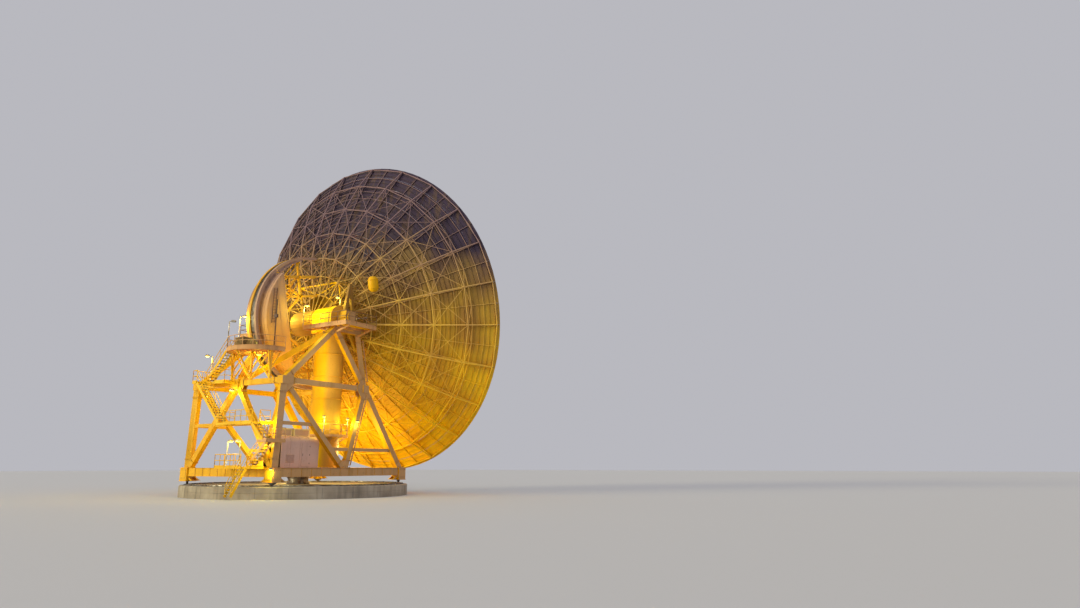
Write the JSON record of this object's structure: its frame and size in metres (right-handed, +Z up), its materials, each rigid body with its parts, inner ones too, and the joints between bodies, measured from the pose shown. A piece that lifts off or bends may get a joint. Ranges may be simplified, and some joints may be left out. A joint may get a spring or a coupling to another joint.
{
  "type": "radio telescope dish",
  "caption": "Radio telescope dish that turns on a round track and tips on two bearings, with a ribbed back frame, gear wheel, counterweights, beam tube, platforms and stairs.",
  "frame": {"origin": "on the azimuth axis at ground level, at the middle of the underside of the concrete drum", "axes": "+Z up along the azimuth axis, +Y the way the dish looks, +X to the right along the elevation axis"},
  "size_m": [34, 24.4567, 35.6407],
  "materials": {
    "concrete": "matte",
    "rail_steel": "satin",
    "drive_paint": "satin",
    "decking": "matte",
    "dish_paint": "matte",
    "tower_paint": "satin"
  },
  "bodies": {
    "foundation": {"foundation_drum": "concrete", "azimuth_track": "rail_steel", "pintle_bearing": "rail_steel"},
    "alidade": {"elevation_drive": "drive_paint", "bearing_platform_left": "decking", "bearing_platform_right": "decking", "drive_platform": "decking", "drive_stair": "decking", "upper_landing": "decking", "middle_landing": "decking", "turn_landing": "decking", "lower_landing": "decking", "tube_walkway": "decking", "base_side_left": "tower_paint", "base_side_right": "tower_paint", "base_beam_rear": "tower_paint", "base_beam_front": "tower_paint", "base_cross_beam": "tower_paint", "rear_leg_left": "tower_paint", "rear_leg_right": "tower_paint", "front_leg_left": "tower_paint", "front_leg_right": "tower_paint", "mid_beam_left": "tower_paint", "mid_beam_right": "tower_paint", "side_brace_left": "tower_paint", "side_brace_right": "tower_paint", "tower_head_left": "tower_paint", "tower_head_right": "tower_paint", "mid_beam_rear": "tower_paint", "mid_beam_front": "tower_paint", "rear_brace": "tower_paint", "rear_upper_brace": "tower_paint", "beam_tube": "tower_paint", "mirror_housing": "tower_paint", "equipment_cabin": "tower_paint"},
    "rear_left_wheel": {"wheel_rear_left": "rail_steel"},
    "rear_right_wheel": {"wheel_rear_right": "rail_steel"},
    "front_left_wheel": {"wheel_front_left": "rail_steel"},
    "front_right_wheel": {"wheel_front_right": "rail_steel"},
    "tipping_dish": {"reflector_upper_right": "dish_paint", "reflector_upper_left": "dish_paint", "reflector_lower_left": "dish_paint", "reflector_lower_right": "dish_paint", "back_frame_upper_right": "dish_paint", "back_frame_upper_left": "dish_paint", "back_frame_lower_left": "dish_paint", "back_frame_lower_right": "dish_paint", "reflector_hub": "dish_paint", "feed_shroud": "dish_paint", "quadripod": "dish_paint", "subreflector": "dish_paint", "side_frame_left": "tower_paint", "side_frame_right": "tower_paint", "elevation_wheel": "tower_paint", "counterweight_left": "tower_paint", "counterweight_right": "tower_paint"}
  },
  "joints": [
    {"name": "azimuth", "type": "hinge", "parent": "foundation", "child": "alidade", "pos_m": [0, 0, 0], "axis": [0, 0, 1], "range_deg": [-225, 225]},
    {"name": "elevation", "type": "hinge", "parent": "alidade", "child": "tipping_dish", "pos_m": [0, 0, 17], "axis": [1, 0, 0], "range_deg": [-5.5, 78]},
    {"name": "rear_left_roll", "type": "hinge", "parent": "alidade", "child": "rear_left_wheel", "pos_m": [-5.85, -7.88, 1.6206], "axis": [-0.5961, -0.8029, 0], "range_deg": [-4920, 4920]},
    {"name": "rear_right_roll", "type": "hinge", "parent": "alidade", "child": "rear_right_wheel", "pos_m": [5.85, -7.88, 1.6206], "axis": [0.5961, -0.8029, 0], "range_deg": [-4920, 4920]},
    {"name": "front_left_roll", "type": "hinge", "parent": "alidade", "child": "front_left_wheel", "pos_m": [-5.85, 7.88, 1.6206], "axis": [-0.5961, 0.8029, 0], "range_deg": [-4920, 4920]},
    {"name": "front_right_roll", "type": "hinge", "parent": "alidade", "child": "front_right_wheel", "pos_m": [5.85, 7.88, 1.6206], "axis": [0.5961, 0.8029, 0], "range_deg": [-4920, 4920]}
  ],
  "couplings": [
    {"joint": "rear_left_roll", "follows": "azimuth", "ratio": -21.809},
    {"joint": "rear_right_roll", "follows": "azimuth", "ratio": -21.809},
    {"joint": "front_left_roll", "follows": "azimuth", "ratio": -21.809},
    {"joint": "front_right_roll", "follows": "azimuth", "ratio": -21.809}
  ]
}
